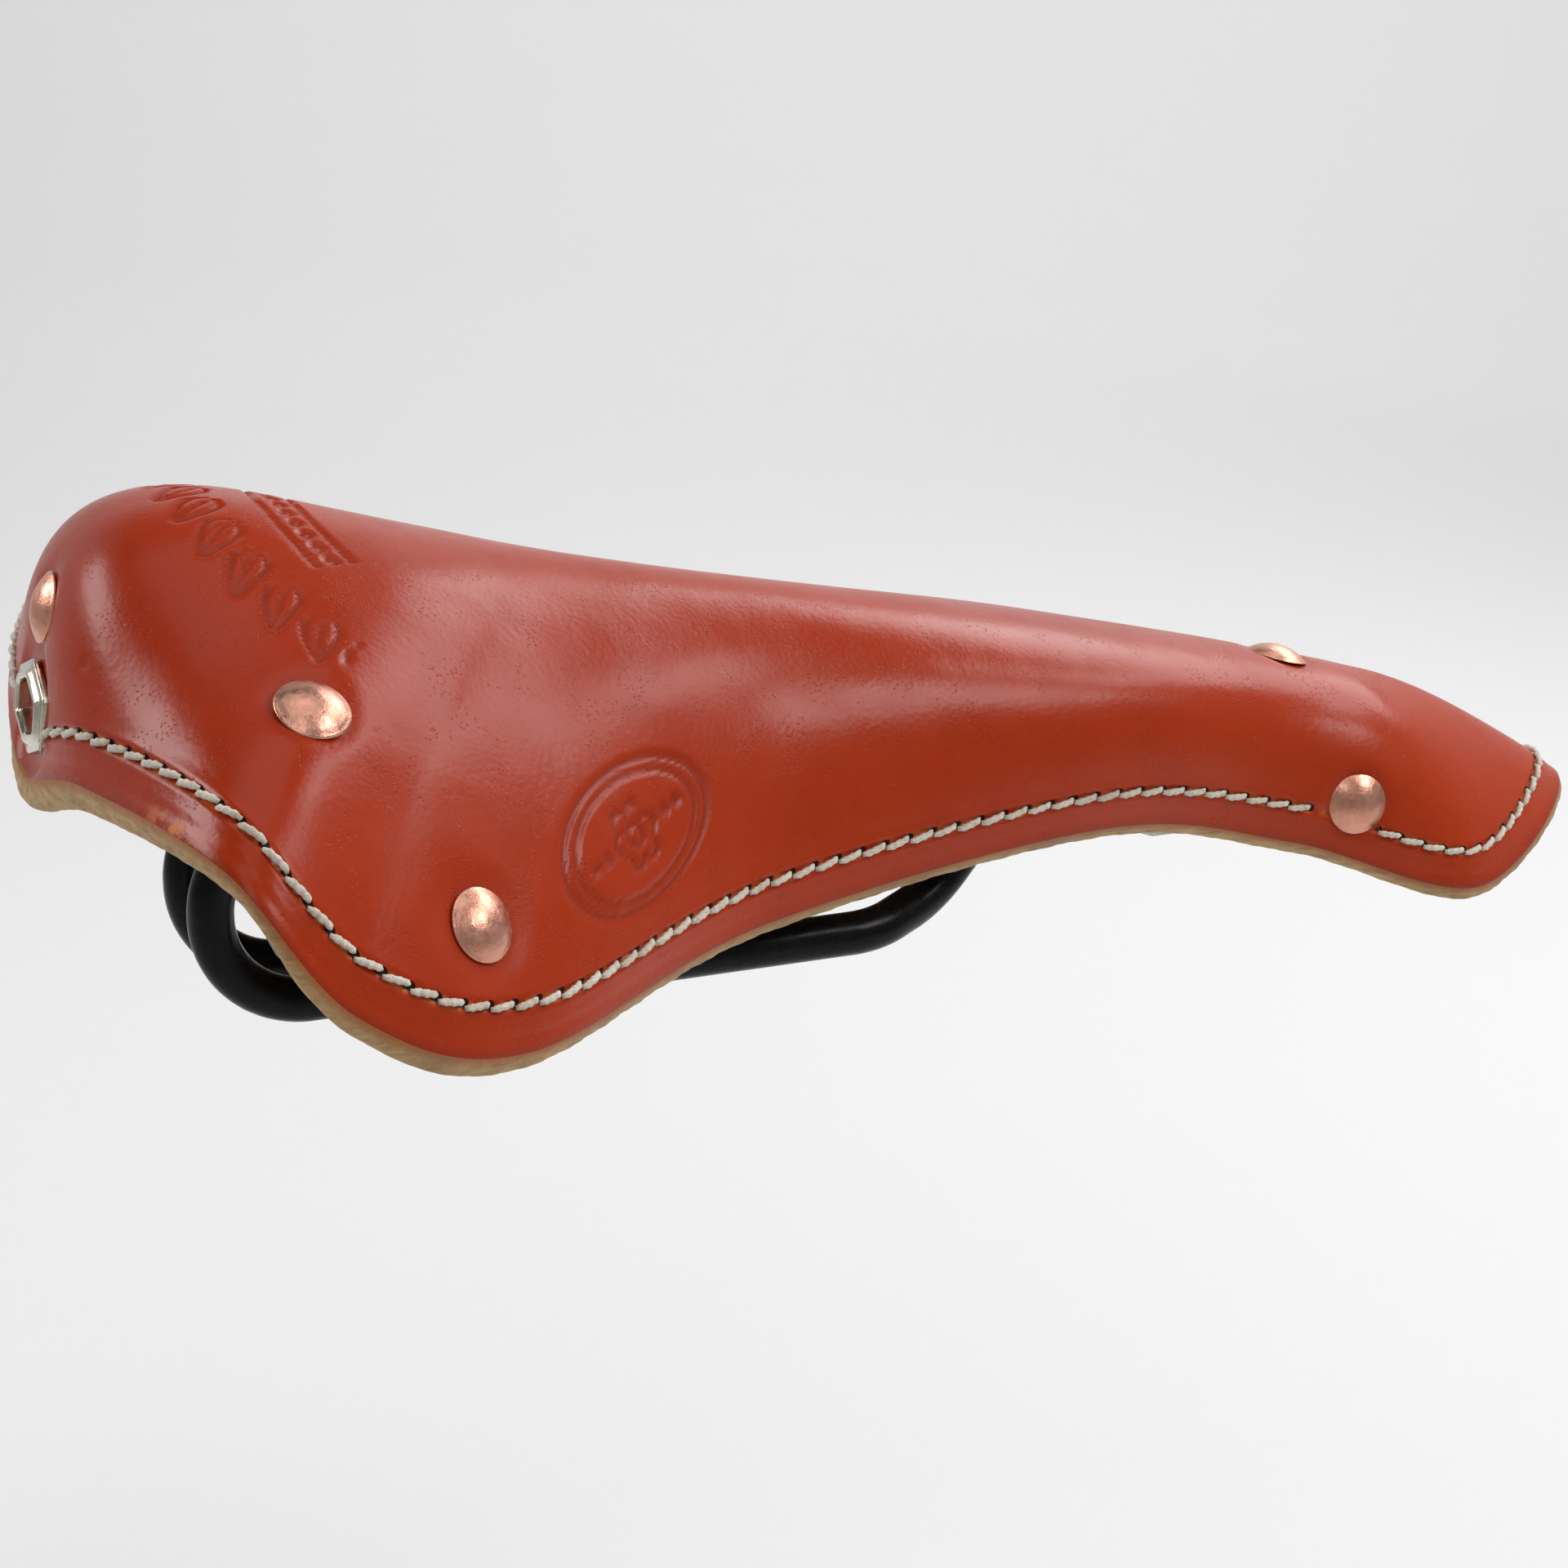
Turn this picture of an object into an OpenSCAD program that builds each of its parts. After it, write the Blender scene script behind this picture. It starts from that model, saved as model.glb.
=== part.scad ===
// Bicycle saddle with a tensioned leather top on a round-wire rail frame.
// Frame: +X forward to the nose, +Y left, +Z up; origin midway between the rails at the clamp.
// Length unit: mm.

/* [Leather] */
// length of the leather top from the rear edge to the tip of the nose
saddle_length = 285; // [277:1:291]
// greatest width of the leather top
saddle_width = 152; // [148:1:158]
// thickness of the leather
leather_t = 4.5; // [4:0.1:4.8]
// distance of the stitched line from the cut edge
stitch_inset = 10; // [9:0.5:11]
// pitch of the stitches
stitch_pitch = 4.6; // [4.4:0.1:6]
// diameter of the sewing thread
thread_d = 1.2; // [0.8:0.1:1.3]

/* [Rivets] */
// diameter of a domed rivet head
rivet_head_d = 10.6; // [10:0.1:11]
// height of a rivet head
rivet_head_h = 2; // [1.5:0.1:2.4]
// diameter of a rivet shank
rivet_shank_d = 4.2; // [3.5:0.1:4.6]
// outer diameter of a burr
burr_d = 9; // [8:0.1:9.5]
// thickness of a burr
burr_t = 1.2; // [0.8:0.1:1.4]

/* [Rails] */
// diameter of the rail wire
rail_d = 7; // [6.8:0.1:7.2]
// distance between the rail centres where the seat post clamps them
rail_spacing = 44; // [43:0.5:45]

/* [Tension] */
// diameter of the tension bolt
bolt_d = 8; // [7:0.5:8]
// key size of the socket in the bolt head
key_size = 5; // [4:0.5:5]

/* [Hidden] */

len_k = saddle_length / 285;
wid_k = saddle_width / 152;

// stations round the rim, from the rear centre to the tip of the nose:
// [rim x, rim half width, rim height, spine x, crown reach, skirt reach, skirt lean]
stations = [
    [0, 0, 38, 45, 52.5, 14, -43],
    [4, 29, 44, 48.5, 47.5, 10, -24],
    [14.5, 68, 44, 69, 34.5, 12.5, -6.5],
    [30, 75, 24.5, 81.5, 29.5, 15.5, 2],
    [56, 66.5, 12.5, 93, 28.5, 14.5, 8],
    [105, 34.5, 13, 127, 29, 14, 15],
    [173, 20.5, 16, 173, 28.5, 15, 19],
    [212, 18.5, 8, 224, 24.5, 12, 18],
    [249, 25, -2.5, 231, 20.5, 7.5, 14],
    [285, 0, 9, 235, 18.5, 2, 10]];
last = len(stations) - 1;

// heights of the ridge at equal steps along the spine
ridge = [81.5, 71.5, 63.5, 57, 50, 42.5, 34, 25];
ridge_from = 30;
ridge_step = 35;

// rear edge and base height of the leather in the part's frame
rear_x = -100;
base_z = -7;

// sheet metal under the leather
fit_gap = 0.3;
plate_t = 2;
plate_out = leather_t + fit_gap;
plate_in = plate_out + plate_t;
burr_gap = 1.1;

// rivet places on the outer face, as fractions round the rim and down the section
rear_rivet_at = [[0, 0.535], [0.23, 0.55], [-0.23, 0.55], [0.405, 0.705], [-0.405, 0.705]];
nose_rivet_at = [[0.76, 0], [0.81, 0.67], [-0.81, 0.67]];
head_sink = 0.5;

// window in the rear of the leather
window_s = 0.755;
flange_size = [19, 14.5];
opening_size = [12.5, 8.5];
barrel_wall = 0.8;
flange_t = 1;

// tension bolt, its axis level with the window
tension_travel = 4;
window_x = face(0, window_s).x;
bolt_z = round(face(0, window_s).z);
foot_t = 1.5;
back_t = 0.8;
head_x = window_x + 11;
head_d = 12.5;
head_l = 4.5;
wall_t = 2.5;
wall_x = head_x + head_l + tension_travel + 0.5;
nut_size = [6.5, 18.4, 13];
cup_l = 5;
cup_d = 14;
tip_d = 6;
tip_l = 4;

// rail frame
bridge_x = -50;
rear_rail_y = 8;
rear_rail_z = 26;
bend_r = 15;
clip_from = 90;
clip_to = 111;
clip_bolt_d = 5;
nose_rail_y = 7;
nose_rail_z = 12;
web_z = nose_rail_z + rail_d / 2;
web_t = 2.5;
right_path = [
    [[-38, -rear_rail_y, rear_rail_z], 0],
    [[-73.5, -rear_rail_y, rear_rail_z], bend_r],
    [[-73.5, -rear_rail_y, -4.5], bend_r],
    [[-52, -rear_rail_y, -4.5], bend_r],
    [[-34, -rail_spacing / 2, 0], bend_r],
    [[30, -rail_spacing / 2, 0], 18],
    [[43, -15.5, 2], 18],
    [[56, -12, 15], 18],
    [[86, -nose_rail_y, nose_rail_z], 30],
    [[112, -nose_rail_y, nose_rail_z], 0]];

function unit(v) = v / norm(v);

function spline(a, b, c, d, u) =
    0.5 * (2 * b + (c - a) * u + (2 * a - 5 * b + 4 * c - d) * u * u + (3 * b - a - 3 * c + d) * u * u * u);

function spline_slope(a, b, c, d, u) =
    0.5 * ((c - a) + 2 * (2 * a - 5 * b + 4 * c - d) * u + 3 * (3 * b - a - 3 * c + d) * u * u);

// a station value; the list runs on, mirrored, past the rear centre and past the tip of the nose
function pick(i, c) =
    let (m = 2 * last, j = (i % m + m) % m)
    j > last ? (c == 1 ? -1 : 1) * stations[m - j][c] : stations[j][c];

function col(t, c) =
    let (k = floor(t * last), u = t * last - k)
    spline(pick(k - 1, c), pick(k, c), pick(k + 1, c), pick(k + 2, c), u);

function col_slope(t, c) =
    let (k = floor(t * last), u = t * last - k)
    spline_slope(pick(k - 1, c), pick(k, c), pick(k + 1, c), pick(k + 2, c), u);

function ridge_at(i) =
    let (n = len(ridge) - 1)
    i < 0 ? ridge[0] + i * (ridge[1] - ridge[0])
    : i > n ? ridge[n] + (i - n) * (ridge[n] - ridge[n - 1])
    : ridge[i];

function ridge_z(x) =
    let (k = floor((x - ridge_from) / ridge_step), u = (x - ridge_from) / ridge_step - k)
    spline(ridge_at(k - 1), ridge_at(k), ridge_at(k + 1), ridge_at(k + 2), u);

function ridge_slope(x) =
    let (k = floor((x - ridge_from) / ridge_step), u = (x - ridge_from) / ridge_step - k)
    spline_slope(ridge_at(k - 1), ridge_at(k), ridge_at(k + 1), ridge_at(k + 2), u) / ridge_step;

// control points of one section, from the ridge down to the rim; t runs round the rim
function section(t) =
    let (rim = [col(t, 0), -col(t, 1), col(t, 2)],
         sx = col(t, 3),
         sz = ridge_z(sx),
         out = unit([rim.x - sx, rim.y]),
         side = unit([-col_slope(t, 1), -col_slope(t, 0)]),
         lean = col(t, 6))
    [[sx, 0, sz],
     [sx + col(t, 4) * out.x, col(t, 4) * out.y, sz + col(t, 4) * out.x * ridge_slope(sx)],
     rim + col(t, 5) * [side.x * sin(lean), side.y * sin(lean), cos(lean)],
     rim];

// from the leather's own axes to the part's frame
function placed(p) = [p.x * len_k + rear_x, p.y * wid_k, p.z + base_z];

function bezier(c, s) =
    pow(1 - s, 3) * c[0] + 3 * pow(1 - s, 2) * s * c[1] + 3 * (1 - s) * s * s * c[2] + pow(s, 3) * c[3];

// a point of the leather's outer face
function face(t, s) = placed(bezier(section(t), s));

function face_normal(t, s) =
    s < 0.001 ? unit([-ridge_slope(col(t, 3)), 0, 1])
    : unit(cross(face(t, s + 0.002) - face(t, s - 0.002), face(t + 0.001, s) - face(t - 0.001, s)));

// a point a given depth under the outer face
function under(t, s, depth) = face(t, s) - depth * face_normal(t, s);

function steps(a, b, n) = [for (i = [0:n]) a + (b - a) * i / n];

// a sheet between two depths under the outer face; a zipped sheet closes over the ridge
module skin(t0, t1, nt, rows, d0, d1, zipped = false, looped = false) {
    m = len(rows) - 1;
    w = m + 1;
    cols = looped ? nt - 1 : nt;
    ts = [for (i = [0:cols]) t0 + (t1 - t0) * i / nt];
    outer = [for (t = ts) for (j = [0:m]) under(t, rows[j], d0)];
    inner = [for (t = ts) for (j = [0:m]) under(t, rows[j], d1)];
    base = (cols + 1) * w;
    function at(i, j) =
        let (ii = looped ? i % nt : i, k = zipped && j == 0 && ii > nt / 2 ? nt - ii : ii)
        k * w + j;
    top = [for (i = [0:nt - 1]) for (j = [0:m - 1])
        each [[at(i, j), at(i + 1, j), at(i + 1, j + 1)], [at(i, j), at(i + 1, j + 1), at(i, j + 1)]]];
    bottom = [for (f = top) [base + f[2], base + f[1], base + f[0]]];
    rim = [for (i = [0:nt - 1])
        each [[at(i, m), at(i + 1, m), base + at(i + 1, m)],
              [at(i, m), base + at(i + 1, m), base + at(i, m)]]];
    head = zipped ? [] : [for (i = [0:nt - 1])
        each [[at(i + 1, 0), at(i, 0), base + at(i, 0)],
              [at(i + 1, 0), base + at(i, 0), base + at(i + 1, 0)]]];
    ends = looped ? [] : [for (j = [0:m - 1])
        each [[at(0, j), at(0, j + 1), base + at(0, j + 1)],
              [at(0, j), base + at(0, j + 1), base + at(0, j)],
              [at(nt, j + 1), at(nt, j), base + at(nt, j)],
              [at(nt, j + 1), base + at(nt, j), base + at(nt, j + 1)]]];
    polyhedron(points = concat(outer, inner), faces = concat(top, bottom, rim, head, ends), convexity = 8);
}

// places its children on the outer face with their +Z along the outward normal
module on_face(t, s, lift = 0) {
    n = face_normal(t, s);
    translate(face(t, s) + lift * n)
        rotate([0, acos(n.z), atan2(n.y, n.x)])
            children();
}

// a round bar from a to b
module bar(a, b, d, fn = 48) {
    v = b - a;
    translate(a)
        rotate([0, acos(v.z / norm(v)), atan2(v.y, v.x)])
            cylinder(d = d, h = norm(v), $fn = fn);
}

// the centreline of a bent wire as [point, direction] pairs; the path is a list of [corner, bend radius]
function corner_arc(p, u, v, r) =
    let (turn = acos(u * v),
         centre = p + unit(v - u) * r / cos(turn / 2),
         ax = unit(p - u * r * tan(turn / 2) - centre),
         n = max(2, ceil(turn / 7.5)))
    [for (k = [0:n]) let (w = turn * k / n)
        [centre + r * (cos(w) * ax + sin(w) * u), cos(w) * u - sin(w) * ax]];

function centreline(path) =
    let (n = len(path) - 1,
         dir = [for (i = [0:n - 1]) unit(path[i + 1][0] - path[i][0])])
    concat([[path[0][0], dir[0]]],
           [for (i = [1:n - 1]) each corner_arc(path[i][0], dir[i - 1], dir[i], path[i][1])],
           [[path[n][0], dir[n - 1]]]);

// a round wire bent along a path, as one tube of rings that don't twist
module wire(path, d, fn = 32) {
    line = centreline(path);
    n = len(line) - 1;
    sides = [for (i = 0, x = unit(cross(line[0][1], [0, 1, 0])); i <= n;
        i = i + 1, x = i <= n ? unit(x - (x * line[i][1]) * line[i][1]) : x) x];
    points = [for (i = [0:n]) let (x = sides[i], y = cross(line[i][1], x)) for (k = [0:fn - 1])
        line[i][0] + d / 2 * (cos(360 * k / fn) * x + sin(360 * k / fn) * y)];
    walls = [for (i = [0:n - 1]) for (k = [0:fn - 1])
        let (a = i * fn + k, b = i * fn + (k + 1) % fn)
        each [[a, b + fn, b], [a, a + fn, b + fn]]];
    polyhedron(points = points,
               faces = concat(walls, [[for (k = [0:fn - 1]) k], [for (k = [fn - 1:-1:0]) n * fn + k]]),
               convexity = 8);
}

// a hexagon with corners up and down
module hexagon(size) {
    polygon([[0, size.y / 2], [-size.x / 2, size.y / 4], [-size.x / 2, -size.y / 4],
             [0, -size.y / 2], [size.x / 2, -size.y / 4], [size.x / 2, size.y / 4]]);
}

// places a window outline on the rear face, X across and Y up
module on_window(lift = 0) {
    on_face(0, window_s, lift) rotate([0, 0, -90]) children();
}

// the rivet holes through everything the rivets hold
module rivet_holes(places) {
    for (q = places)
        on_face(q[0], q[1], -12)
            cylinder(d = rivet_shank_d + 0.3, h = 14, $fn = 32);
}

module rivet_seats(places) {
    for (q = places)
        on_face(q[0], q[1], -head_sink - 0.1)
            cylinder(d = rivet_head_d + 0.8, h = 4, $fn = 40);
}

// a domed rivet, its head seated in the leather and its tail closed over the burr
module rivet(t, s) {
    r = (rivet_head_d * rivet_head_d / 4 + rivet_head_h * rivet_head_h) / (2 * rivet_head_h);
    on_face(t, s, -head_sink) {
        intersection() {
            translate([0, 0, rivet_head_h - r]) sphere(r = r, $fn = 64);
            cylinder(d = rivet_head_d, h = rivet_head_h + 1, $fn = 48);
        }
        translate([0, 0, -tail]) cylinder(d = rivet_shank_d, h = tail, $fn = 32);
    }
}
tail = plate_in + burr_gap + burr_t + 0.8 - head_sink;

module burr(t, s) {
    on_face(t, s, -plate_in - burr_gap - burr_t)
        difference() {
            cylinder(d = burr_d, h = burr_t, $fn = 40);
            translate([0, 0, -1]) cylinder(d = rivet_shank_d + 0.1, h = burr_t + 2, $fn = 32);
        }
}

// the stitched line: the section place at a set distance from the cut edge
function inset_s(t, lo = 0.5, hi = 1, n = 9) =
    n == 0 ? (lo + hi) / 2
    : let (mid = (lo + hi) / 2)
      norm(face(t, 1) - face(t, mid)) > stitch_inset ? inset_s(t, mid, hi, n - 1) : inset_s(t, lo, mid, n - 1);
function seam(t) = face(t, inset_s(t));

seam_start = 0.045;
seam_ts = steps(seam_start, 2 - seam_start, 160);
seam_points = [for (t = seam_ts) seam(t)];
seam_table = [for (i = 0, run = 0; i < len(seam_ts);
    run = run + (i + 1 < len(seam_ts) ? norm(seam_points[i + 1] - seam_points[i]) : 0), i = i + 1)
    [run, seam_ts[i]]];
seam_length = seam_table[len(seam_table) - 1][0];
stitch_count = floor(seam_length / stitch_pitch);
stitch_step = seam_length / stitch_count;

module stitch(i) {
    ta = lookup((i + 0.14) * stitch_step, seam_table);
    tb = lookup((i + 0.86) * stitch_step, seam_table);
    sa = inset_s(ta);
    sb = inset_s(tb);
    rise = thread_d / 2 + 0.4;
    a = face(ta, sa) + rise * face_normal(ta, sa);
    b = face(tb, sb) + rise * face_normal(tb, sb);
    clear = min([for (q = nose_rivet_at) norm((a + b) / 2 - face(q[0], q[1]))]);
    if (clear > rivet_head_d / 2 + stitch_step / 2)
        bar(a, b, thread_d, 14);
}

module leather_top() {
    color([0.70, 0.24, 0.08])
    difference() {
        skin(-1, 1, 72, steps(0, 1, 12), 0, leather_t, zipped = true, looped = true);
        rivet_holes(concat(rear_rivet_at, nose_rivet_at));
        rivet_seats(concat(rear_rivet_at, nose_rivet_at));
        on_window(-0.8) linear_extrude(4) hexagon([flange_size.x + 0.8, flange_size.y + 0.8]);
        on_window(-12) linear_extrude(14)
            hexagon([opening_size.x + 2 * barrel_wall + 0.8, opening_size.y + 2 * barrel_wall + 0.8]);
    }
}

module skirt_stitching() {
    color([0.93, 0.92, 0.88])
    for (i = [0:stitch_count - 1])
        stitch(i);
}

module rear_rivets() {
    color([0.80, 0.45, 0.34])
    for (q = rear_rivet_at)
        rivet(q[0], q[1]);
}

module rear_burrs() {
    color([0.80, 0.45, 0.34])
    for (q = rear_rivet_at)
        burr(q[0], q[1]);
}

module nose_rivets() {
    color([0.80, 0.45, 0.34])
    for (q = nose_rivet_at)
        rivet(q[0], q[1]);
}

module nose_burrs() {
    color([0.80, 0.45, 0.34])
    for (q = nose_rivet_at)
        burr(q[0], q[1]);
}

// flange outside the leather, with a barrel through it
module eyelet_plate() {
    color([0.72, 0.72, 0.68])
    difference() {
        union() {
            on_window(-0.6) linear_extrude(flange_t) hexagon(flange_size);
            on_window(-0.6) linear_extrude(flange_t + 0.8)
                hexagon([opening_size.x + 3, opening_size.y + 3]);
            on_window(-plate_in - foot_t - back_t - 0.4) linear_extrude(plate_in + foot_t + back_t)
                hexagon([opening_size.x + 2 * barrel_wall, opening_size.y + 2 * barrel_wall]);
        }
        on_window(-14) linear_extrude(18) hexagon(opening_size);
    }
}

// ring inside, closed over the end of the barrel
module eyelet_back() {
    color([0.72, 0.72, 0.68])
    on_window(-plate_in - foot_t - back_t - 0.2) linear_extrude(back_t)
        difference() {
            hexagon([flange_size.x - 2, flange_size.y - 2]);
            hexagon([opening_size.x + 2 * barrel_wall + 0.1, opening_size.y + 2 * barrel_wall + 0.1]);
        }
}

module cantle_plate() {
    color([0.30, 0.30, 0.31])
    difference() {
        skin(-0.46, 0.46, 32, steps(0.44, 0.9, 8), plate_out, plate_in);
        rivet_holes(rear_rivet_at);
        barrel_hole();
    }
}

// the hexagonal hole through the plates for the barrel of the eyelet
module barrel_hole() {
    on_window(-16) linear_extrude(18)
        hexagon([opening_size.x + 2 * barrel_wall + 0.4, opening_size.y + 2 * barrel_wall + 0.4]);
}

// foot against the cantle plate, two cheeks beside the nut and a wall behind it
module nut_bracket() {
    cheek_y = nut_size.y / 2 + 0.1;
    high = nut_size.z + 1;
    color([0.45, 0.45, 0.46])
    difference() {
        union() {
            skin(-0.06, 0.06, 6, steps(0.68, 0.9, 4), plate_in + 0.05, plate_in + foot_t);
            for (m = [-1, 1])
                translate([window_x + 7.7, m * (cheek_y + 1) - 1, bolt_z - high / 2])
                    cube([wall_x + wall_t + nut_size.x - window_x - 7.7, 2, high]);
            translate([wall_x, -cheek_y - 1, bolt_z - high / 2]) cube([wall_t, 2 * cheek_y + 2, high]);
        }
        bar([wall_x - 1, 0, bolt_z], [wall_x + wall_t + 1, 0, bolt_z], bolt_d + 0.8, 40);
        barrel_hole();
    }
}

module tension_nut() {
    color([0.76, 0.62, 0.34])
    difference() {
        translate([wall_x + wall_t + 0.05, -nut_size.y / 2, bolt_z - nut_size.z / 2]) cube(nut_size);
        bar([wall_x, 0, bolt_z], [wall_x + 20, 0, bolt_z], bolt_d + 0.3, 48);
    }
}

// bolt with a hexagon socket in its head, pressing forward on the cup of the rail bridge
module tension_bolt() {
    tip_x = bridge_x - cup_l + 3 - 0.3;
    color([0.66, 0.54, 0.32])
    difference() {
        union() {
            bar([head_x, 0, bolt_z], [head_x + head_l, 0, bolt_z], head_d, 64);
            bar([head_x + head_l, 0, bolt_z], [tip_x - tip_l, 0, bolt_z], bolt_d, 48);
            bar([tip_x - tip_l, 0, bolt_z], [tip_x, 0, bolt_z], tip_d, 48);
        }
        translate([head_x - 1, 0, bolt_z]) rotate([0, 90, 0])
            cylinder(d = key_size / cos(30), h = 4.5, $fn = 6);
    }
}

module thrust_cup() {
    color([0.66, 0.54, 0.32])
    difference() {
        union() {
            bar([bridge_x - cup_l, 0, bolt_z], [bridge_x - 0.05, 0, bolt_z], cup_d, 64);
            bar([bridge_x - 0.05, 0, bolt_z], [bridge_x + 7, 0, bolt_z], 8, 48);
        }
        bar([bridge_x - cup_l - 1, 0, bolt_z], [bridge_x - cup_l + 3, 0, bolt_z], tip_d + 0.8, 48);
    }
}

// block on the rear ends of the rails with an upright for the cup
module rail_bridge() {
    color([0.13, 0.13, 0.14])
    difference() {
        union() {
            translate([bridge_x, -14, rear_rail_z - 6.5]) cube([14, 28, 13]);
            translate([bridge_x, -10, rear_rail_z]) cube([8, 20, bolt_z - rear_rail_z]);
            bar([bridge_x, 0, bolt_z], [bridge_x + 8, 0, bolt_z], 20, 64);
        }
        for (m = [-1, 1])
            bar([bridge_x - 1, m * rear_rail_y, rear_rail_z],
                [bridge_x + 12.1, m * rear_rail_y, rear_rail_z], rail_d + 0.1);
        bar([bridge_x - 1, 0, bolt_z], [bridge_x + 9, 0, bolt_z], 8.1);
    }
}

module rail_right() {
    color([0.07, 0.07, 0.08]) wire(right_path, rail_d);
}

module rail_left() {
    color([0.07, 0.07, 0.08]) mirror([0, 1, 0]) wire(right_path, rail_d);
}

// hood under the leather of the nose
module nose_horn() {
    color([0.30, 0.30, 0.31])
    difference() {
        skin(0.7, 1.3, 20, steps(0, 0.87, 8), plate_out, plate_in, zipped = true);
        rivet_holes(nose_rivet_at);
    }
}

// cross plate between the walls of the hood, above the rails
module nose_web() {
    wall = [for (t = steps(0.7, 0.785, 4)) let (p = under(t, 0.75, plate_in + 1.1)) [p.x, p.y]];
    color([0.30, 0.30, 0.31])
    translate([0, 0, web_z])
        difference() {
            linear_extrude(web_t)
                polygon(concat(wall, [for (i = [len(wall) - 1:-1:0]) [wall[i].x, -wall[i].y]]));
            for (x = [clip_from + 5, clip_to - 5])
                translate([x, 0, -1]) cylinder(d = clip_bolt_d + 0.3, h = web_t + 2, $fn = 32);
        }
}

// block under the front ends of the rails
module rail_clip() {
    color([0.13, 0.13, 0.14])
    difference() {
        translate([clip_from, -12, nose_rail_z - 6]) cube([clip_to - clip_from, 24, 5.8]);
        for (m = [-1, 1])
            bar([clip_from - 1, m * nose_rail_y, nose_rail_z],
                [clip_to + 2, m * nose_rail_y, nose_rail_z], rail_d + 0.1);
        for (x = [clip_from + 5, clip_to - 5])
            translate([x, 0, nose_rail_z - 7]) cylinder(d = clip_bolt_d + 0.3, h = 8, $fn = 32);
    }
}

module clip_bolts() {
    color([0.66, 0.66, 0.64])
    for (x = [clip_from + 5, clip_to - 5])
        translate([x, 0, nose_rail_z - 6.05]) {
            translate([0, 0, -3.5]) cylinder(d = 8 / cos(30), h = 3.5, $fn = 6);
            cylinder(d = clip_bolt_d, h = 17.5, $fn = 32);
        }
}

module clip_nuts() {
    color([0.66, 0.66, 0.64])
    for (x = [clip_from + 5, clip_to - 5])
        translate([x, 0, web_z + web_t + 0.05])
            difference() {
                cylinder(d = 8 / cos(30), h = 4, $fn = 6);
                translate([0, 0, -1]) cylinder(d = clip_bolt_d + 0.1, h = 6, $fn = 32);
            }
}

leather_top();
skirt_stitching();
rear_rivets();
rear_burrs();
nose_rivets();
nose_burrs();
eyelet_plate();
eyelet_back();
cantle_plate();
nut_bracket();
tension_nut();
tension_bolt();
thrust_cup();
rail_bridge();
rail_left();
rail_right();
nose_horn();
nose_web();
rail_clip();
clip_bolts();
clip_nuts();
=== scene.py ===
import math

import bmesh
import bpy
import numpy as np
from mathutils import Matrix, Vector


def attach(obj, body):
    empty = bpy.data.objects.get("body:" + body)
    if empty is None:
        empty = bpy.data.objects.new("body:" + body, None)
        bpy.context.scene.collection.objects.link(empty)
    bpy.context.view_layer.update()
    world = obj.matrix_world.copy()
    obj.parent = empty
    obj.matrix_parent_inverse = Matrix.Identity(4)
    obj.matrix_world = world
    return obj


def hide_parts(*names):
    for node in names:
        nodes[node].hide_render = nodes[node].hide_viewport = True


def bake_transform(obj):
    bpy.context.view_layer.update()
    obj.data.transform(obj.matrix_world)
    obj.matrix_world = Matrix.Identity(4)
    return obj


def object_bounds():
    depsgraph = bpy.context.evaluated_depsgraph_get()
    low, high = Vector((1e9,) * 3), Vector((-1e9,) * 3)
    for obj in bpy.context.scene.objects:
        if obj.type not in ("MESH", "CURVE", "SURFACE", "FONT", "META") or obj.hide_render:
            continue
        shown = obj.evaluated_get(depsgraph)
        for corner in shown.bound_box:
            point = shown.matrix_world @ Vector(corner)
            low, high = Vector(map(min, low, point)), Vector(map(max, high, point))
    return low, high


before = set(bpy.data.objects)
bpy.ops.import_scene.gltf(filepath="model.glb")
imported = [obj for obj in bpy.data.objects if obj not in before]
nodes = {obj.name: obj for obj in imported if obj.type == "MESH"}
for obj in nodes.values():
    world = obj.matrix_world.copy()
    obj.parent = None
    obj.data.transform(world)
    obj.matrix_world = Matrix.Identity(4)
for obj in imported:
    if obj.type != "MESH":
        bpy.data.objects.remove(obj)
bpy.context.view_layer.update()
MM = 0.001

# ------------------------------------------------------------------ surface of the leather, in mm
# stations from the rear centre to the nose: rim x, y, z, ridge x, two handle lengths, lean in degrees
STATIONS = np.array([
    [0, 0, 38, 45, 52.5, 14, -43],
    [4, 29, 44, 48.5, 47.5, 10, -24],
    [14.5, 68, 44, 69, 34.5, 12.5, -6.5],
    [30, 75, 24.5, 81.5, 29.5, 15.5, 2],
    [56, 66.5, 12.5, 93, 28.5, 14.5, 8],
    [105, 34.5, 13, 127, 29, 14, 15],
    [173, 20.5, 16, 173, 28.5, 15, 19],
    [212, 18.5, 8, 224, 24.5, 12, 18],
    [249, 25, -2.5, 231, 20.5, 7.5, 14],
    [285, 0, 9, 235, 18.5, 2, 10]], float)
# ridge heights from x = 30, one each 35 mm
RIDGE = np.array([81.5, 71.5, 63.5, 57, 50, 42.5, 34, 25], float)
LAST = len(STATIONS) - 1
REAR_X, BASE_Z = -100.0, -7.0
LEATHER_T = 4.5
# depths of the plate faces under the leather face, then the washers below them
PLATE_OUT, PLATE_IN = 4.8, 6.8
BURR_GAP, BURR_T = 1.1, 1.2
RIVET_R, WIRE_R = 5.3, 3.5
# rivets and window as (t, s) places on the face
REAR_RIVETS = [(0, 0.535), (0.23, 0.55), (-0.23, 0.55), (0.405, 0.705), (-0.405, 0.705)]
NOSE_RIVETS = [(0.76, 0), (0.81, 0.67), (-0.81, 0.67)]
WINDOW_S = 0.755


def spline(a, b, c, d, u):
    square, cube = 2 * a - 5 * b + 4 * c - d, 3 * b - a - 3 * c + d
    return 0.5 * (2 * b + (c - a) * u + square * u * u + cube * u ** 3)


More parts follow.
